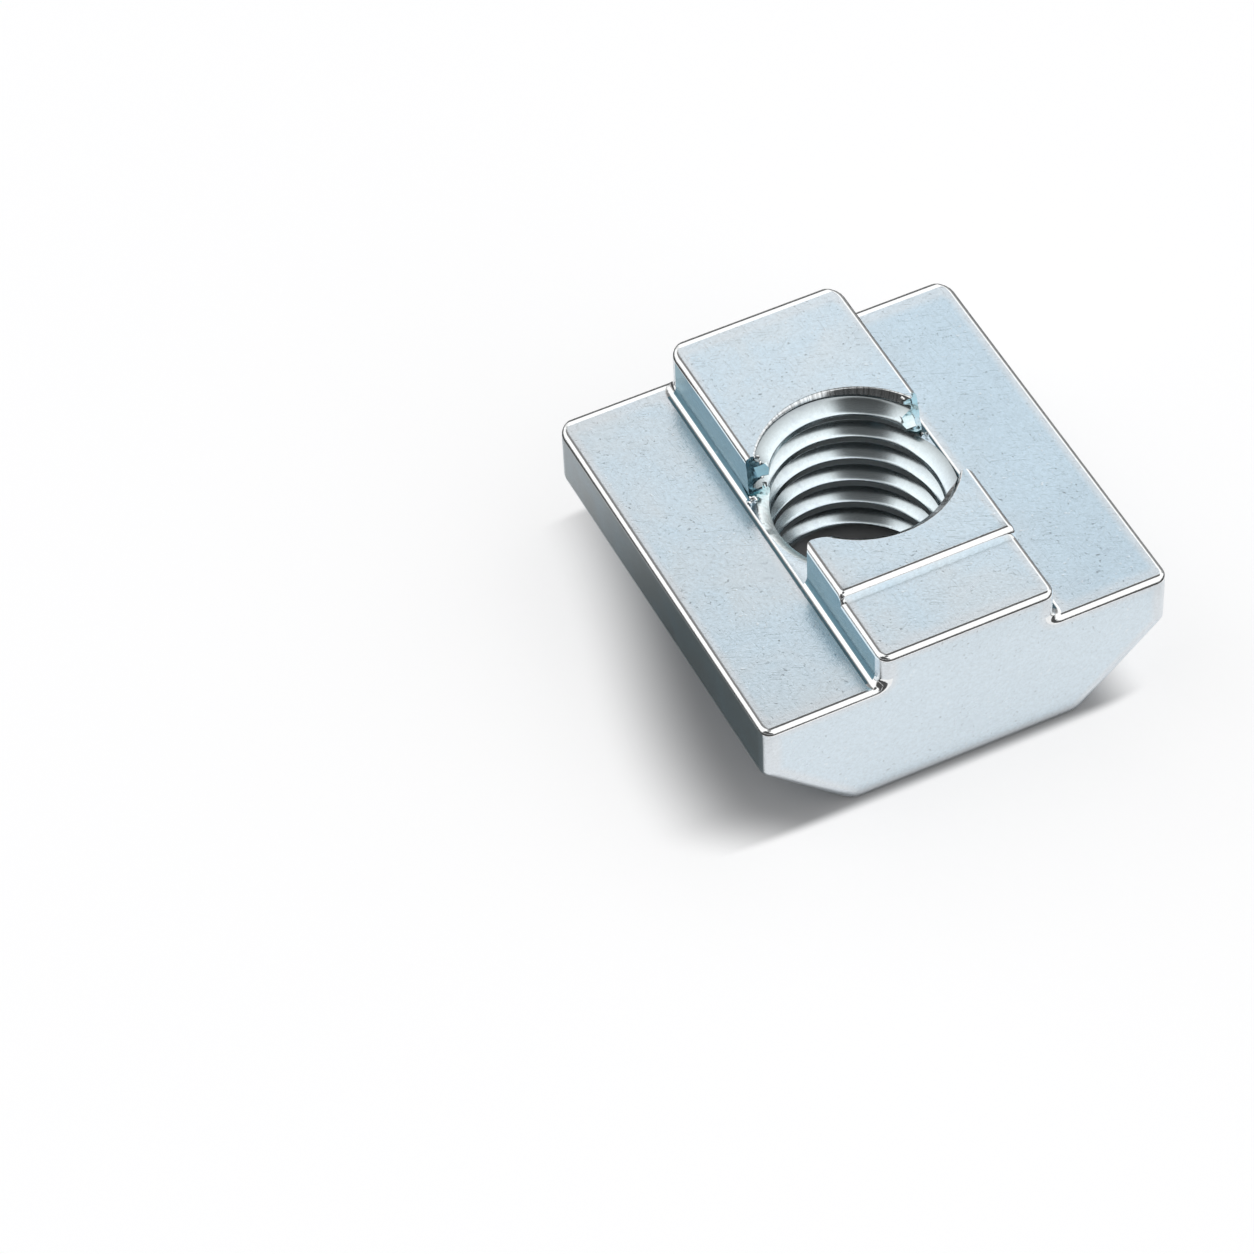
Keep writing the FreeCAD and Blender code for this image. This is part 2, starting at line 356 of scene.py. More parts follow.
def painted_groove_shade(tree, here):
    """Painted shade on the thread: darker on its crests and undersides, and on its up-facing flanks towards
    the root.
    """
    sizes = bpy.context.scene.nut_sizes
    crest, root = sizes.core_radius, sizes.root_radius
    flat = vector_math(tree, "MULTIPLY", {0: here, 1: (1, 1, 0)})
    radius = add(tree, "ShaderNodeVectorMath", {0: flat}, operation="LENGTH").outputs["Value"]
    deep = ramp(tree, radius, crest + 0.15 * (root - crest), root, 0.0, 0.7)
    facing_up = parts(tree, add(tree, "ShaderNodeNewGeometry").outputs["Normal"])["Z"]
    crest_face = ramp(tree, facing_up, 0.45, 0.15, 0.0, 0.3)
    underside = ramp(tree, facing_up, -0.2, -0.5, 0.0, 0.9)
    return calculate(tree, "MAXIMUM", deep, calculate(tree, "MAXIMUM", crest_face, underside))


CHATTER_PER_RADIAN = 5


def chatter_shade(tree, here):
    """Fine streaks down a cone, as a cutting tool leaves them where it chatters."""
    across = parts(tree, here)
    angle = calculate(tree, "ARCTAN2", across["Y"], across["X"])
    streaks = add(tree, "ShaderNodeTexNoise", {
        "W": calculate(tree, "MULTIPLY", angle, CHATTER_PER_RADIAN), "Detail": 6.0, "Roughness": 0.6},
        noise_dimensions="1D").outputs[0]
    return ramp(tree, streaks, 0.42, 0.64, 0.0, 0.55)


def new_material(name):
    """A material, its node tree, its shader and the socket of the object's own position."""
    material = bpy.data.materials.new(name)
    material.use_nodes = True
    tree = material.node_tree
    return material, tree, tree.nodes["Principled BSDF"], add(tree, "ShaderNodeTexCoord").outputs["Object"]


LIGHT_FLECK = (0.95, 0.97, 0.98)
EDGE_SHARE = 0.65
MOTTLE_SHARE = 0.13
FLECK_SHARE = 0.35
MARK_SHARE = 0.07
BUMP_DISTANCE = 0.00001


def metal(name, base, pale, edge, pits_and_painted_shade, roughness, bump, grain_size=0.00014, flecks=1.0, marks=1.0, shade=None,
          deep=None):
    """One plated finish: its colours, how rough it is, how much its small marks show, a shade of its own
    (painted shade on the thread, real chatter marks on the countersink), and a deeper colour that its level
    faces take towards the right side, along with paler upright faces that are painted light."""
    material, tree, shader, here = new_material(name)
    shader.inputs["Metallic"].default_value = 1.0
    grain = add(tree, "ShaderNodeGroup", node_tree=shared_group("Plating grain", plating_grain_group))
    tree.links.new(here, grain.inputs["Position"])
    grain.inputs["Grain Size"].default_value = grain_size
    grain = grain.outputs
    scratches = add(tree, "ShaderNodeGroup", node_tree=shared_group("Handling marks", handling_marks_group))
    tree.links.new(here, scratches.inputs["Position"])
    scratches = scratches.outputs["Marks"]
    beside_edge = add(tree, "ShaderNodeAttribute", attribute_name="edge").outputs["Fac"]

    # Colour: cloudy patches, a deeper right side and paler upright faces (the paler upright faces are painted
    # light), a warmer margin, fine mottling, then light and dark flecks and marks
    tone = blend(tree, ramp(tree, grain["Patches"], 0.35, 0.65), (*base, 1), (*pale, 1))
    if deep:
        facing_up = parts(tree, add(tree, "ShaderNodeNewGeometry").outputs["Normal"])["Z"]
        # Painted light: upright faces are made paler
        tone = blend(tree, ramp(tree, facing_up, 0.3, 0.0), tone, (*pale, 1))
        on_right = ramp(tree, parts(tree, here)["X"], 0.001, 0.007, soft=True)
        share = calculate(tree, "MULTIPLY", on_right, ramp(tree, facing_up, 0.0, 0.7))
        tone = blend(tree, share, tone, (*deep, 1))
    share = calculate(tree, "MULTIPLY", ramp(tree, beside_edge, 0.0, 1.0, soft=True), EDGE_SHARE)
    tone = blend(tree, share, tone, (*edge, 1))
    tone = blend(tree, ramp(tree, grain["Grain"], 0.35, 0.75, 0.0, MOTTLE_SHARE), tone, (*pits_and_painted_shade, 1))
    for mask, share, fleck in ((grain["Light Flecks"], FLECK_SHARE * flecks, LIGHT_FLECK),
                               (grain["Dark Flecks"], FLECK_SHARE * flecks, pits_and_painted_shade),
                               (scratches, MARK_SHARE * marks, pits_and_painted_shade)):
        tone = blend(tree, calculate(tree, "MULTIPLY", mask, share), tone, (*fleck, 1))
    # Painted shade on the thread's crests, undersides and roots; on the countersink real chatter marks
    if shade:
        tone = blend(tree, shade(tree, here), tone, (*pits_and_painted_shade, 1))
    tree.links.new(tone, shader.inputs["Base Color"])

    rough = calculate(tree, "MULTIPLY_ADD", grain["Patches"], 0.3 * roughness, 0.85 * roughness)
    tree.links.new(rough, shader.inputs["Roughness"])

    height = grain["Grain"]
    for mask, rise in ((grain["Dark Flecks"], -0.9 * flecks), (grain["Light Flecks"], 0.5 * flecks),
                       (scratches, -0.3 * marks)):
        height = calculate(tree, "MULTIPLY_ADD", mask, rise, height)
    bumped = add(tree, "ShaderNodeBump", {"Strength": bump, "Distance": BUMP_DISTANCE, "Height": height})
    tree.links.new(bumped.outputs[0], shader.inputs["Normal"])
    return material


# The nut's own shape

# The two darker finishes of the boss walls and of the corner at their foot are painted shade
SATIN, POLISHED, BORE, FORGED, TORN, CONE, PAINTED_SHADE_WALL, SIDE, PAINTED_SHADE_HOLLOW = range(9)


def finishes(look):
    """The finishes of the nut, in the order of its material slots."""
    zinc, pale, deep, edge, bright, pits_and_painted_shade, wall, hollow, side, thread, torn = (
        tuple(getattr(look, name)) for name in (
            "zinc", "zinc_pale_and_painted_light", "zinc_deep", "zinc_edge", "bright", "pits_and_painted_shade", "wall", "hollow", "side",
            "thread", "torn"))
    return [
        metal("Satin zinc", zinc, pale, edge, pits_and_painted_shade, roughness=0.26, bump=0.40, flecks=1.0, marks=0.9,
              deep=deep),
        metal("Polished edges", bright, bright, bright, pits_and_painted_shade, roughness=0.10, bump=0.20, flecks=0.8,
              marks=0.3),
        # The thread's darkening by its crests, undersides and roots is painted shade
        metal("Thread", thread, pale, thread, pits_and_painted_shade, roughness=0.17, bump=0.06, flecks=0.1, marks=0.3,
              shade=painted_groove_shade),
        metal("Forged flanks", zinc, pale, edge, pits_and_painted_shade, roughness=0.30, bump=0.50, grain_size=0.00035),
        metal("Torn metal", torn, bright, torn, pits_and_painted_shade, roughness=0.14, bump=0.50, flecks=1.0, marks=0.2),
        metal("Countersink", bright, pale, bright, pits_and_painted_shade, roughness=0.15, bump=0.06, flecks=0.3, marks=0.3,
              shade=chatter_shade),
        # Painted shade: the boss walls are a darker copy of the zinc
        metal("Boss walls", wall, wall, wall, pits_and_painted_shade, roughness=0.26, bump=0.10, flecks=0.5, marks=0.5),
        metal("Rolled sides", side, pale, side, pits_and_painted_shade, roughness=0.20, bump=0.10, flecks=0.5, marks=0.5),
        # Painted shade: the corner at the foot of the boss is a darker copy of the zinc
        metal("Boss hollow", hollow, hollow, hollow, pits_and_painted_shade, roughness=0.30, bump=0.10, flecks=0.5, marks=0.5),
    ]


# Steps of each rounding, the strips that keep its shading off the flats, the strip before the step, and how
# far the step's riser leans so that none of its faces is empty
ARC_STEPS = 6
MARGIN = 0.0004
THIN = 0.00004
STEP_STRIP = 0.00015
RISER_LEAN = 0.000004

# Corners of the cross-section are counted from the right of the foot up and round to its left, and each run
# has the number of the corner before it
LEVEL_RUNS = (2, 4, 6, 9)
TOP_RUNS = (2, 4, 6)
SIDE_RUNS = (1, 7)
WALL_RUNS = (3, 5)
FLANK_RUNS = (0, 8)
TOP_CORNERS = (2, 3, 4, 5, 6, 7)
BOSS_TOP = 4

# The steps of each concave corner at the boss foot that are bright: a painted highlight among its painted
# shade
PAINTED_FOOT_HIGHLIGHTS = {3: (0,), 6: (3, 4)}


def mesh_of(shape, name):
    """A mesh that takes over what this bmesh holds."""
    mesh = bpy.data.meshes.new(name)
    shape.to_mesh(mesh)
    shape.free()
    return mesh


def corner_points(before, corner, after, radius, insets):
    """Points of one rounded corner of an outline whose two sides are moved inwards by the insets."""
    into, out = corner - before, after - corner
    first = Vector((into.y, -into.x)).normalized()
    last = Vector((out.y, -out.x)).normalized()
    turn = math.atan2(first.x * last.y - first.y * last.x, first.dot(last))
    mitre = (first + last) / (1 + first.dot(last))
    spread = math.sin(turn)
    moved = corner - Vector((insets[0] * last.y - insets[1] * first.y,
                             insets[1] * first.x - insets[0] * last.x)) / spread
    if turn > 0:
        reach = max(radius - min(insets), 0)
    else:
        reach = -(radius + min(insets))
    centre = moved - mitre * reach
    points = []
    for step in range(ARC_STEPS + 1):
        swing = Matrix.Rotation(turn * step / ARC_STEPS, 2)
        points.append(centre + swing @ first * reach)
    return points


def section(sizes, top, level_inset, side_inset):
    """A closed ring round the nut's cross-section: points, how near each is to an edge, what follows it and
    the number of its corner."""
    half_foot, half_nut, half_boss = sizes.foot_width / 2, sizes.width / 2, sizes.boss_width / 2
    right = [(half_foot, 0, sizes.foot_radius),
             (half_nut, sizes.chamfer_height, sizes.flank_radius),
             (half_nut, sizes.flange_height, sizes.edge_radius),
             (half_boss, sizes.flange_height, sizes.boss_fillet),
             (half_boss, top, sizes.edge_radius)]
    outline = right + [(-x, z, radius) for x, z, radius in reversed(right)]
    corners = [Vector((x, z)) for x, z, radius in outline]
    count = len(corners)
    insets = [level_inset if n in LEVEL_RUNS else side_inset for n in range(count)]
    arcs = [corner_points(corners[n - 1], corners[n], corners[(n + 1) % count], outline[n][2],
                          (insets[n - 1], insets[n]))
            for n in range(count)]
    ring = []
    for n, arc in enumerate(arcs):
        for step, point in enumerate(arc):
            kind = "arc" if step < ARC_STEPS else "run"
            # Steps of the concave corner at the boss foot take painted shade, and the listed steps a painted
            # highlight
            if n in PAINTED_FOOT_HIGHLIGHTS and kind == "arc":
                kind = "painted_highlight" if step in PAINTED_FOOT_HIGHLIGHTS[n] else "hollow"
            ring.append((point, 1.0, kind, n))
        start, end = arc[-1], arcs[(n + 1) % count][0]
        run = end - start
        margin = min(MARGIN, 0.45 * run.length)
        along = run.normalized()
        for point, nearness in ((start + along * margin * 0.1, 0.9), (start + along * margin, 0.0),
                                (end - along * margin, 0.0), (end - along * margin * 0.1, 0.9)):
            ring.append((point, nearness, "run", n))
    return ring


def rounding_inset(depth, radius):
    """How far a rounded edge stands back from its full size at this depth behind the end face."""
    short = max(radius - depth, 0)
    return radius - math.sqrt(radius * radius - short * short)


def stations(sizes):
    """Cross-sections along the nut: place, boss top, insets, nearness to an edge, and what follows."""
    front, rear = -sizes.length / 2, sizes.length / 2
    step = front + sizes.step_length
    low_top, high_top = sizes.height - sizes.step_drop, sizes.height
    edge = sizes.edge_radius
    quarter = [math.pi / 2 * n / ARC_STEPS for n in range(ARC_STEPS + 1)]

    def end(corner):
        """One end by depth, from its flat face over the rounding to the first part of the straight bar."""
        depths = sorted({radius * (1 - math.cos(a)) for radius in (edge, corner) for a in quarter})
        rounded = [(depth, rounding_inset(depth, edge), rounding_inset(depth, corner),
                    1.0 if depth < edge else 0.6, "round" if depth < edge else "corner") for depth in depths]
        rounded[-1] = (*rounded[-1][:4], "run")
        return [(0, edge + MARGIN, corner + MARGIN, 0.0, "flat"),
                (0, edge + THIN, corner + THIN, 0.9, "flat"),
                *rounded,
                (corner + THIN, 0, 0, 0.5, "run"),
                (corner + MARGIN, 0, 0, 0.0, "run")]

    line = [(front + depth, low_top, level, side, nearness, kind)
            for depth, level, side, nearness, kind in end(sizes.front_radius)]
    line.append((step - STEP_STRIP, low_top, 0, 0, 0.0, "run"))
    line.append((step - RISER_LEAN, low_top, 0, 0, 0.0, "step"))
    for a in quarter:
        line.append((step + sizes.step_radius * (1 - math.cos(a)),
                     high_top - sizes.step_radius * (1 - math.sin(a)), 0, 0, 0.0, "step"))
    line[-1] = (*line[-1][:5], "run")
    line.append((step + sizes.step_radius + MARGIN, high_top, 0, 0, 0.0, "run"))
    back = end(sizes.rear_radius)
    for n in reversed(range(len(back))):
        depth, level, side, nearness, kind = back[n]
        line.append((rear - depth, high_top, level, side, nearness, back[n - 1][4] if n else "flat"))
    return line


def blank_mesh(sizes):
    """The nut before boring: a T-shaped bar with chamfered flanks, rounded edges and a lowered front end."""
    shape = bmesh.new()
    edge_layer = shape.verts.layers.float.new("edge")
    plan = stations(sizes)
    rings, sections = [], []
    for along, top, level, side, nearness, kind in plan:
        ring = section(sizes, top, level, side)
        verts = []
        for point, beside, what, corner in ring:
            vert = shape.verts.new((point.x, along, point.y))
            vert[edge_layer] = max(beside, nearness) if kind != "flat" else nearness
            verts.append(vert)
        rings.append(verts)
        sections.append(ring)
    shape.faces.new(rings[0])
    shape.faces.new(rings[-1])
    for s in range(len(plan) - 1):
        kind = plan[s][5]
        for n, (point, beside, what, corner) in enumerate(sections[s]):
            after = (n + 1) % len(rings[s])
            face = shape.faces.new((rings[s][n], rings[s][after], rings[s + 1][after], rings[s + 1][n]))
            rounded_top = kind == "round" and corner in TOP_RUNS and what == "run"
            rounded_side = what != "run" and corner in TOP_CORNERS and kind != "flat"
            # Painted shade on the concave corner at the boss foot and on the boss walls
            if what == "hollow" and kind in ("run", "step"):
                face.material_index = PAINTED_SHADE_HOLLOW
            elif rounded_top or rounded_side or (kind == "step" and corner == BOSS_TOP):
                face.material_index = POLISHED
            elif corner in WALL_RUNS and what == "run" and kind in ("run", "step"):
                face.material_index = PAINTED_SHADE_WALL
            elif corner in SIDE_RUNS and what == "run" and kind in ("run", "step"):
                face.material_index = SIDE
            elif corner in FLANK_RUNS and kind != "flat":
                face.material_index = FORGED
    for face in shape.faces:
        face.smooth = True
    bmesh.ops.remove_doubles(shape, verts=shape.verts, dist=0.0000005)
    bmesh.ops.recalc_face_normals(shape, faces=shape.faces)
    return mesh_of(shape, "nut blank")


def circle(radius, height, count):
    """Points round the Z axis at this height."""
    turns = [math.tau * n / count for n in range(count)]
    return [(radius * math.cos(a), radius * math.sin(a), height) for a in turns]


def lathe_mesh(profile, columns, finish):
    """A closed solid turned about the Z axis.

    Its profile of radius and height starts and ends on the axis."""
    shape = bmesh.new()
    rings = [[shape.verts.new(point) for point in circle(radius, height, columns)]
             for radius, height in profile[1:-1]]
    for lower, upper in zip(rings, rings[1:]):
        for n in range(columns):
            after = (n + 1) % columns
            shape.faces.new((lower[n], lower[after], upper[after], upper[n]))
    shape.faces.new(rings[0])
    shape.faces.new(rings[-1])
    bmesh.ops.recalc_face_normals(shape, faces=shape.faces)
    for face in shape.faces:
        face.smooth = len(face.verts) == 4
        face.material_index = finish
    return mesh_of(shape, "countersink")


# The countersink's lip, its steep upper part and its cone, and how far its cutter stands out
LIP_RADIUS = 0.00008
LIP_ANGLE = math.radians(62)
LIP_STEPS = 3
STEEP_INSET, STEEP_DEPTH = 0.0002, 0.00037
CORE_OVERLAP, CONE_DEPTH = 0.00002, 0.0006
STAND_OUT = 0.001


def countersink_profile(sizes, mouth, inwards):
    """Radius and height down a countersink whose lip is rounded where it meets the flat face."""
    rim, core = sizes.rim_radius, sizes.core_radius
    outside = rim + 0.4 * LIP_RADIUS
    profile = [(0, mouth - inwards * STAND_OUT), (outside, mouth - inwards * STAND_OUT), (outside, mouth)]
    for n in range(1, LIP_STEPS + 1):
        angle = LIP_ANGLE * n / LIP_STEPS
        profile.append((outside - LIP_RADIUS * math.sin(angle),
                        mouth + inwards * LIP_RADIUS * (1 - math.cos(angle))))
    profile.append((rim - STEEP_INSET, mouth + inwards * STEEP_DEPTH))
    profile.append((core - CORE_OVERLAP, mouth + inwards * CONE_DEPTH))
    profile.append((0, mouth + inwards * CONE_DEPTH))
    return profile


CRESCENT_SWING = math.radians(35)
CRESCENT_STEPS = 24
CRESCENT_RISE = 0.0003


def crescent_mesh(sizes, side):
    """A cutter for the sloping bite that the bore takes out of the flange top on one side."""
    floor, top = sizes.flange_height - sizes.crescent_depth, sizes.flange_height + CRESCENT_RISE
    slope = (sizes.crescent_radius - sizes.core_radius) / sizes.crescent_depth
    shape = bmesh.new()
    rings = []
    for height in (floor, top):
        radius = sizes.core_radius + slope * (height - floor)
        ring = [shape.verts.new((0, 0, height))]
        for n in range(CRESCENT_STEPS + 1):
            angle = CRESCENT_SWING * (2 * n / CRESCENT_STEPS - 1)
            ring.append(shape.verts.new((side * radius * math.cos(angle), radius * math.sin(angle), height)))
        rings.append(ring)
    count = CRESCENT_STEPS + 2
    for n in range(count):
        after = (n + 1) % count
        face = shape.faces.new((rings[0][n], rings[0][after], rings[1][after], rings[1][n]))
        face.smooth = 0 < n <= CRESCENT_STEPS
    for ring in rings:
        shape.faces.new(ring)
    bmesh.ops.recalc_face_normals(shape, faces=shape.faces)
    for face in shape.faces:
        face.material_index = TORN
    return mesh_of(shape, "crescent")


TORN_ROWS = 18
TORN_RISE = 0.0004
TORN_FIN_REACH = 0.0003
TORN_FIN_LIMIT = 0.0035
TORN_RAGGEDNESS = 0.00003
TORN_SHIFT = 0.00002


def torn_wall_mesh(sizes, side, front_line, rear_foot, rear_top, seed, finish):
    """A cutter for the thin boss wall beside the bore, whose ragged rear face leaves torn ends of thread.

    The front line holds the distances outwards and along the nut at which the boss begins again."""
    chance = random.Random(seed)
    floor, top = sizes.flange_height + sizes.stub_height, sizes.height + TORN_RISE
    across, up = len(front_line) - 1, TORN_ROWS
    shape = bmesh.new()
    front, rear = {}, {}
    for row in range(up + 1):
        height = floor + (top - floor) * row / up
        share = (height - floor) / (top - floor)
        for column, (outwards, begin) in enumerate(front_line):
            turn_part = (math.atan2(rear_foot, side * outwards) % math.tau) / math.tau
            crest = (height - sizes.thread_start) / sizes.pitch - turn_part
            on_crest = max(0, math.cos(math.tau * crest)) ** 2 if outwards < TORN_FIN_LIMIT else 0
            ragged = chance.uniform(-1, 1)
            back = (rear_foot + (rear_top - rear_foot) * share - TORN_FIN_REACH * on_crest
                    + TORN_RAGGEDNESS * ragged)
            sideways = TORN_SHIFT * chance.uniform(-1, 1) if 0 < column < across else 0
            rear[row, column] = shape.verts.new((side * (outwards + sideways), back, height))
            front[row, column] = shape.verts.new((side * outwards, begin, height))
    for grid in (front, rear):
        for row in range(up):
            for column in range(across):
                shape.faces.new((grid[row, column], grid[row, column + 1], grid[row + 1, column + 1],
                                 grid[row + 1, column])).material_index = finish
    rims = [((row, column), (row + 1, column)) for row in range(up) for column in (0, across)]
    rims += [((row, column), (row, column + 1)) for column in range(across) for row in (0, up)]
    for here, after in rims:
        shape.faces.new((front[here], rear[here], rear[after], front[after]))
    bmesh.ops.triangulate(shape, faces=shape.faces)
    bmesh.ops.recalc_face_normals(shape, faces=shape.faces)
    return mesh_of(shape, "torn wall")


def place(mesh, name):
    """An object at the origin that shows this mesh."""
    item = bpy.data.objects.new(name, mesh)
    bpy.context.scene.collection.objects.link(item)
    return item


def frozen(item):
    """Replace the object's mesh by a plain one as its modifiers leave it, and drop the modifiers."""
    bpy.context.view_layer.update()
    graph = bpy.context.evaluated_depsgraph_get()
    mesh = bpy.data.meshes.new_from_object(
        item.evaluated_get(graph), preserve_all_data_layers=True, depsgraph=graph)
    item.modifiers.clear()
    item.data = mesh


BREAK_ANGLE = math.radians(35)
BREAK_WIDTH = 0.00003
BREAK_SEGMENTS = 2


def thread_cutter(sizes, material):
    """The thread's core as an object, its sharp crests and roots a little broken."""
    tree = thread_tree()
    cutter = place(bpy.data.meshes.new("thread"), "thread_cutter")
    rolled = cutter.modifiers.new("Thread core", "NODES")
    rolled.node_group = tree
    set_inputs(rolled, tree, {
        "Core Radius": sizes.core_radius, "Root Radius": sizes.root_radius, "Pitch": sizes.pitch,
        "Start": sizes.thread_start, "Turns": THREAD_TURNS, "Columns": COLUMNS,
        "Rows Per Turn": ROWS_PER_TURN, "Material": material})
    frozen(cutter)
    broken = cutter.modifiers.new("Broken crests", "BEVEL")
    broken.limit_method = "ANGLE"
    broken.angle_limit = BREAK_ANGLE
    broken.width = BREAK_WIDTH
    broken.segments = BREAK_SEGMENTS
    frozen(cutter)
    return cutter


# Where the boss begins again in front of each opening: outwards from the middle, and along the nut
LEFT_FRONT = ((0.0024, -0.0030), (0.0030, -0.00279), (0.0032, -0.00274), (0.0034, -0.00273),
              (0.0035, -0.00275), (0.00358, -0.00280), (0.0037, -0.0030), (0.0043, -0.0031))
RIGHT_FRONT = ((0.0024, -0.00262), (0.0028, -0.00242), (0.0030, -0.00233), (0.0032, -0.00224),
               (0.0034, -0.00219), (0.0035, -0.00222), (0.0036, -0.00233), (0.0043, -0.0026))

# Each opening in the boss walls: side, front line, rear end at the flange and at the top, seed, finish
# The left opening's torn faces take the painted shade of the boss walls
OPENINGS = ((-1, LEFT_FRONT, 0.0018, 0.0022, 3, PAINTED_SHADE_WALL), (1, RIGHT_FRONT, 0.0017, 0.0024, 8, TORN))
SHARP_ANGLE = math.radians(32)


class OBJECT_OT_slide_nut_body(bpy.types.Operator):
    """Build the nut with its threaded bore"""
    bl_idname = "object.slide_nut_body"
    bl_label = "Nut body"

    def execute(self, context):
        sizes = context.scene.nut_sizes
        materials = finishes(context.scene.nut_finish)
        nut = place(blank_mesh(sizes), "slide_nut_body")
        for material in materials:
            nut.data.materials.append(material)

        cutters = []
        for side, *opening in OPENINGS:
            cutters.append(place(crescent_mesh(sizes, side), "crescent_cutter"))
            cutters.append(place(torn_wall_mesh(sizes, side, *opening), "wall_cutter"))
        for mouth, inwards in ((sizes.height, -1), (0, 1)):
            cutters.append(place(lathe_mesh(countersink_profile(sizes, mouth, inwards), COLUMNS, CONE),
                                 "countersink_cutter"))
        for cutter in cutters:
            for material in materials:
                cutter.data.materials.append(material)
        cutters.append(thread_cutter(sizes, materials[BORE]))
        for cutter in cutters:
            cut = nut.modifiers.new("Cut", "BOOLEAN")
            cut.object = cutter
            cut.operation = "DIFFERENCE"
            cut.solver = "EXACT"
            cut.material_mode = "TRANSFER"
        frozen(nut)
        for cutter in cutters:
            bpy.data.objects.remove(cutter)

        nut.data.set_sharp_from_angle(angle=SHARP_ANGLE)
        flats = nut.modifiers.new("Flat shading", "WEIGHTED_NORMAL")
        flats.keep_sharp = True
        frozen(nut)
        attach(nut, "root")
        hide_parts(NODE)
        return {"FINISHED"}


# Lines along which the torn ends run: from, to and how many crumbs
TORN_LINES = (
    ((-0.00330, 0.00215, 0.00775), (-0.00308, 0.00205, 0.00715), 2),
    ((-0.00308, 0.00200, 0.00690), (-0.00304, 0.00192, 0.00610), 2),
    ((-0.00345, 0.00175, 0.00590), (-0.00392, 0.00150, 0.00588), 2),
    ((0.00310, 0.00236, 0.00778), (0.00352, 0.00236, 0.00730), 2),
    ((0.00318, 0.00220, 0.00690), (0.00334, 0.00200, 0.00620), 2),
    ((0.00360, 0.00175, 0.00592), (0.00392, 0.00160, 0.00590), 2),
    ((0.00372, -0.00150, 0.00590), (0.00390, -0.00190, 0.00590), 2),
)
CRUMB_SIZE = 0.00017
CRUMB_SCATTER = 0.00005
CRUMB_SEED, PLACE_SEED = 5, 11


class OBJECT_OT_slide_nut_crumbs(bpy.types.Operator):
    """Set torn crumbs of metal on the broken ends of the boss walls"""
    bl_idname = "object.slide_nut_crumbs"
    bl_label = "Torn crumbs"

    def execute(self, context):
        chance = random.Random(PLACE_SEED)
        places = []
        for start, end, count in TORN_LINES:
            for n in range(count):
                point = Vector(start).lerp(Vector(end), (n + 0.5) / count)
                places.append([axis + CRUMB_SCATTER * chance.uniform(-1, 1) for axis in point])
        mesh = bpy.data.meshes.new("crumb places")
        mesh.from_pydata(places, [], [])
        crumbs = place(mesh, "torn_crumbs")
        tree = crumbs_tree()
        torn = crumbs.modifiers.new("Torn crumbs", "NODES")
        torn.node_group = tree
        set_inputs(torn, tree, {
            "Size": CRUMB_SIZE, "Crumple": 1.0, "Seed": CRUMB_SEED,
            "Material": bpy.data.materials["Polished edges"]})
        frozen(crumbs)
        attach(crumbs, "root")
        return {"FINISHED"}


# Floor, light and camera

def towards(azimuth, elevation):
    """A unit vector at this azimuth and elevation in degrees, where azimuth 0 lies in front of the nut."""
    a, e = math.radians(azimuth), math.radians(elevation)
    return Vector((math.sin(a) * math.cos(e), -math.cos(a) * math.cos(e), math.sin(e)))


# Azimuth, elevation, half-width and softness in degrees, and level, of what the metal mirrors
SURROUNDINGS = (
    (-24, 71, 13, 10, 0.10),
    (-24, 4, 22, 12, 0.08),
    (143, 69, 12, 8, 0.12),
    (184, 52, 8, 10, 0.25),
    (164, 8, 16, 16, 0.10),
    (127, 6, 14, 18, 0.25),
    (-59, 20, 27, 10, 0.08),
)
OPEN_LEVEL = 1.22
HORIZON_LEVEL = 0.20


def studio_world():
    """Soft light from all round, with darker cards for the polished edges and the thread to mirror."""
    world = bpy.data.worlds.new("Studio")
    world.use_nodes = True
    tree = world.node_tree
    tree.nodes.clear()
    direction = add(tree, "ShaderNodeTexCoord").outputs["Generated"]
    level = ramp(tree, parts(tree, direction)["Z"], 0.03, 0.14, HORIZON_LEVEL, OPEN_LEVEL, soft=True)
    for azimuth, elevation, width, softness, tone in SURROUNDINGS:
        near = add(tree, "ShaderNodeVectorMath", {
            0: direction, 1: towards(azimuth, elevation)}, operation="DOT_PRODUCT").outputs["Value"]
        outer, inner = math.cos(math.radians(width + softness)), math.cos(math.radians(width))
        share = ramp(tree, near, outer, inner, soft=True)
        level = add(tree, "ShaderNodeMix", {0: share, 2: level, 3: tone}, data_type="FLOAT").outputs[0]
    light = add(tree, "ShaderNodeBackground", {"Color": (1, 1, 1, 1), "Strength": level})
    add(tree, "ShaderNodeOutputWorld", {0: light.outputs[0]})
    return world


# How far the painted shadow on the floor reaches on the left, and how soon the floor's glow comes back round
# the nut
PAINTED_SHADOW_LEFT_REACH = 0.0030
PAINTED_SHADOW_FADE = 0.0035


def matt_material(name):
    """A material without gloss, its node tree, its shader and the parts of the object's own position."""
    material, tree, shader, here = new_material(name)
    shader.inputs["Roughness"].default_value = 0.9
    shader.inputs["Specular IOR Level"].default_value = 0.0
    return material, tree, shader, parts(tree, here)


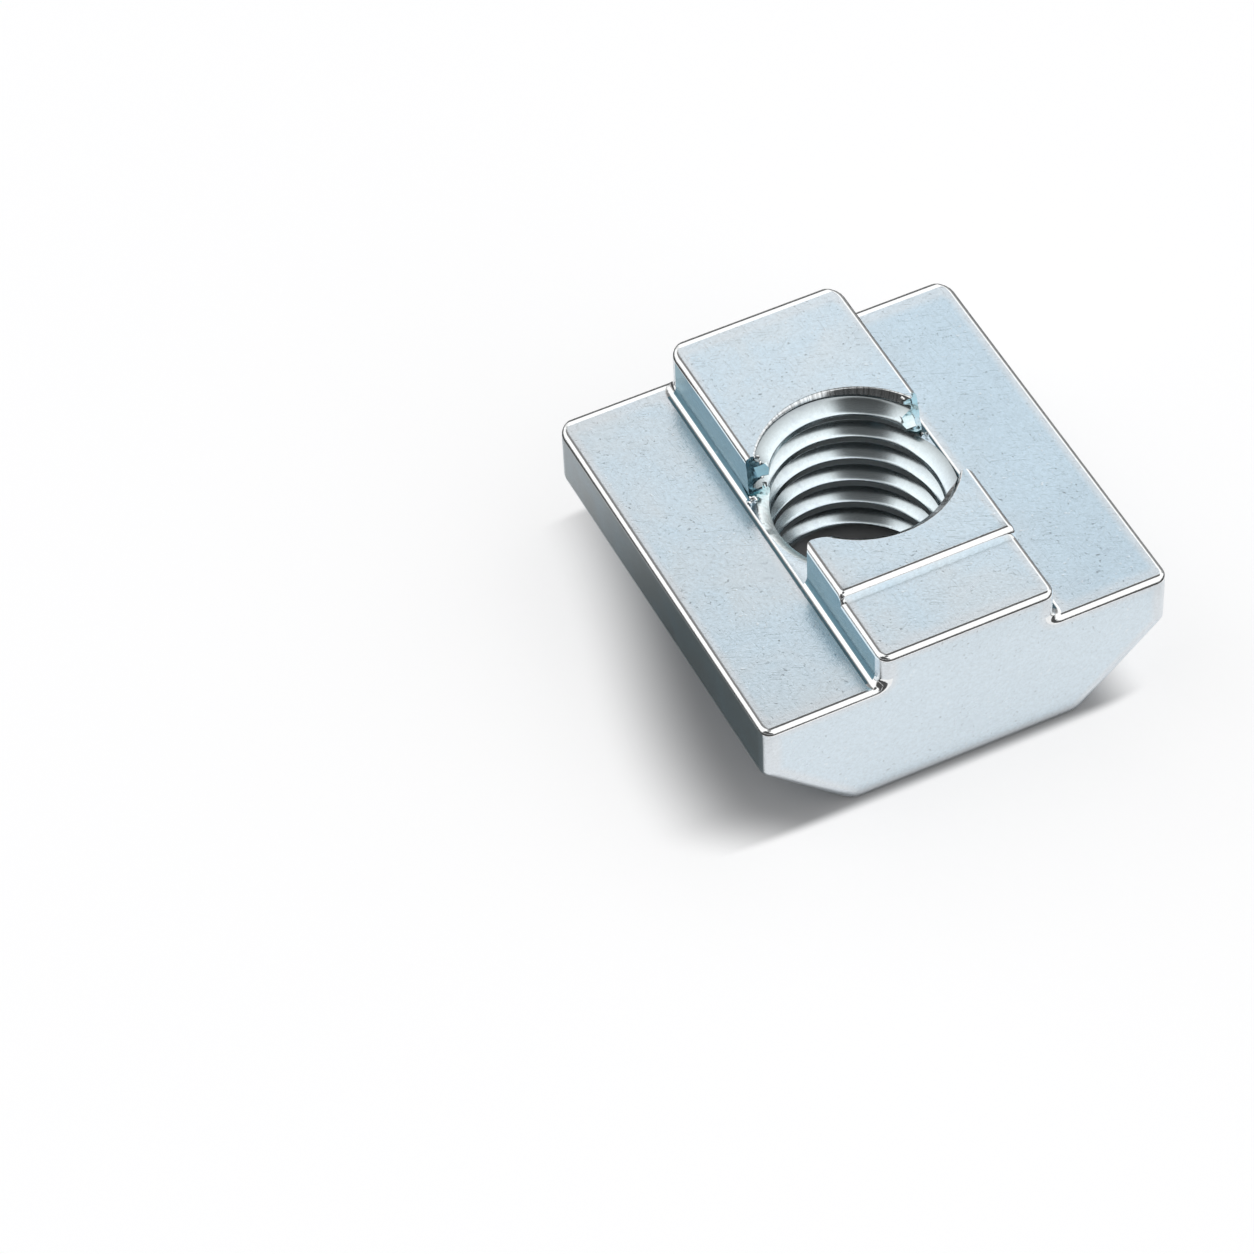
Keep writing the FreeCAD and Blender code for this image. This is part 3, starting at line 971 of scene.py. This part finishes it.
def floor_material(look, sizes):
    """A pale floor that is white in the open and keeps the nut's shadow, with a painted shadow where its glow
    is held back round the nut.
    """
    material, tree, shader, here = matt_material("Pale floor")
    shader.inputs["Base Color"].default_value = (*look.floor, 1)
    shader.inputs["Emission Color"].default_value = (1, 1, 1, 1)

    # Painted shadow: the glow is held back round the nut, and further on the left side, most of all towards
    # the front
    on_left = calculate(tree, "LESS_THAN", here["X"], 0.0)
    reach = calculate(tree, "MINIMUM", ramp(tree, here["Y"], -0.011, -0.007, 0.0, PAINTED_SHADOW_LEFT_REACH, soft=True),
                      ramp(tree, here["Y"], -0.006, 0.010, PAINTED_SHADOW_LEFT_REACH, 0.0, soft=True))
    half_foot = calculate(tree, "MULTIPLY_ADD", on_left, reach, sizes.foot_width / 2)
    across_weight = ramp(tree, on_left, 0.0, 1.0, 1.2, 0.75)
    away = []
    for axis, half, weight in (("X", half_foot, across_weight), ("Y", sizes.length / 2, 6)):
        beyond = calculate(tree, "SUBTRACT", calculate(tree, "ABSOLUTE", here[axis]), half)
        beyond = calculate(tree, "MULTIPLY", calculate(tree, "MAXIMUM", beyond, 0), weight)
        away.append(calculate(tree, "POWER", beyond, 2))
    distance = calculate(tree, "SQRT", calculate(tree, "ADD", *away))
    glow = ramp(tree, distance, 0.0, PAINTED_SHADOW_FADE, 0.0, look.glow, soft=True)
    rays = add(tree, "ShaderNodeLightPath").outputs
    shown = calculate(tree, "MAXIMUM", rays["Is Camera Ray"], rays["Is Glossy Ray"])
    shown = calculate(tree, "MAXIMUM", shown, rays["Is Transmission Ray"])
    tree.links.new(calculate(tree, "MULTIPLY", glow, shown), shader.inputs["Emission Strength"])
    return material


def flat_sheet(name, corners, holes=()):
    """A flat mesh on the floor, with an outline and an inner outline of as many corners."""
    shape = bmesh.new()
    outer = [shape.verts.new(point) for point in corners]
    if holes:
        inner = [shape.verts.new(point) for point in holes]
        count = len(outer)
        for n in range(count):
            after = (n + 1) % count
            shape.faces.new((outer[n], outer[after], inner[after], inner[n]))
    else:
        shape.faces.new(outer)
    return mesh_of(shape, name)


def dark_card(name, mesh, front_tone, rear_tone):
    """A dark card that only the polished metal mirrors, with one tone at its front and one at its rear."""
    material, tree, shader, here = matt_material(name)
    rear = ramp(tree, here["Y"], 0.001, 0.013, soft=True)
    tree.links.new(blend(tree, rear, (*front_tone, 1), (*rear_tone, 1)), shader.inputs["Base Color"])
    mesh.materials.append(material)
    card = place(mesh, name)
    card.visible_camera = False
    card.visible_diffuse = False
    card.visible_shadow = False
    card.visible_transmission = False


def rectangle(left, front, right, rear, height):
    """Corners of a level rectangle, from its front left corner round."""
    return [(left, front, height), (right, front, height), (right, rear, height), (left, rear, height)]


FLOOR_REACH = 2.0
RING_CORNERS = 32
RING_INSIDE, RING_OUTSIDE, RING_HEIGHT = 0.0185, 0.12, 0.0003
CARD_GAP, CARD_WIDTH, CARD_HEIGHT = 0.0003, 0.009, 0.0002
CARD_FRONT, CARD_REAR = -0.009, 0.018
RING_TONE = (0.10, 0.10, 0.10)
# Tones of the card beside the left side: a painted shade that the side mirrors
PAINTED_SHADE_CARD_FRONT_TONE, PAINTED_SHADE_CARD_REAR_TONE = (0.18, 0.205, 0.21), (0.64, 0.66, 0.67)


class OBJECT_OT_slide_nut_stage(bpy.types.Operator):
    """Set the floor, the light and the camera"""
    bl_idname = "object.slide_nut_stage"
    bl_label = "Stage"

    def execute(self, context):
        look, sizes = context.scene.nut_stage, context.scene.nut_sizes
        floor = flat_sheet("floor", rectangle(-FLOOR_REACH, -FLOOR_REACH, FLOOR_REACH, FLOOR_REACH, 0))
        floor.materials.append(floor_material(look, sizes))
        place(floor, "floor")
        context.scene.world = studio_world()

        # A ring card beyond the nut's own reflection, and one close along its left side, a dark sheet that
        # paints shade into what the left side mirrors
        outer, inner = (circle(radius, RING_HEIGHT, RING_CORNERS) for radius in (RING_OUTSIDE, RING_INSIDE))
        ring = flat_sheet("ring_card", outer, inner)
        dark_card("ring_card", ring, RING_TONE, RING_TONE)
        edge = -sizes.width / 2 - CARD_GAP
        side = flat_sheet("painted_shade_card", rectangle(edge - CARD_WIDTH, CARD_FRONT, edge, CARD_REAR, CARD_HEIGHT))
        dark_card("painted_shade_card", side, PAINTED_SHADE_CARD_FRONT_TONE, PAINTED_SHADE_CARD_REAR_TONE)

        back = towards(look.azimuth, look.elevation)
        roll = math.radians(look.roll)
        level_right = Vector((0, 0, 1)).cross(back).normalized()
        level_up = back.cross(level_right)
        right = math.cos(roll) * level_right + math.sin(roll) * level_up
        up = back.cross(right)
        eye = right * look.aim_across + up * look.aim_up + back * look.distance
        axes = Matrix((right, up, back)).transposed().to_4x4()
        lens = bpy.data.cameras.new("camera")
        lens.sensor_width = 36
        lens.lens = look.lens
        lens.clip_start = 0.01
        lens.clip_end = 10
        camera = bpy.data.objects.new("camera", lens)
        context.scene.collection.objects.link(camera)
        camera.matrix_world = Matrix.Translation(eye) @ axes
        context.scene.camera = camera
        context.scene.view_settings.view_transform = "Standard"
        return {"FINISHED"}


class VIEW3D_PT_slide_nut(bpy.types.Panel):
    """Sizes, finish and stage of the slide nut"""
    bl_label = "Slide nut"
    bl_idname = "VIEW3D_PT_slide_nut"
    bl_space_type = "VIEW_3D"
    bl_region_type = "UI"
    bl_category = "Slide nut"

    def draw(self, context):
        layout = self.layout
        for operator in STEPS:
            layout.operator(operator.bl_idname)
        for title, group in (("Sizes", "nut_sizes"), ("Finish", "nut_finish"), ("Stage", "nut_stage")):
            box = layout.box()
            box.label(text=title)
            settings = getattr(context.scene, group)
            for name in settings.__annotations__:
                box.prop(settings, name)


GROUPS = {"nut_sizes": NutSizes, "nut_finish": NutFinish, "nut_stage": NutStage}
STEPS = (OBJECT_OT_slide_nut_body, OBJECT_OT_slide_nut_crumbs, OBJECT_OT_slide_nut_stage)
CLASSES = (*GROUPS.values(), *STEPS, VIEW3D_PT_slide_nut)


def register():
    for item in CLASSES:
        bpy.utils.register_class(item)
    for name, group in GROUPS.items():
        setattr(bpy.types.Scene, name, bpy.props.PointerProperty(type=group))


def unregister():
    for name in GROUPS:
        delattr(bpy.types.Scene, name)
    for item in reversed(CLASSES):
        bpy.utils.unregister_class(item)


def main():
    """Build everything in order."""
    register()
    bpy.ops.object.slide_nut_body()
    bpy.ops.object.slide_nut_crumbs()
    bpy.ops.object.slide_nut_stage()


if __name__ == "__main__":
    main()
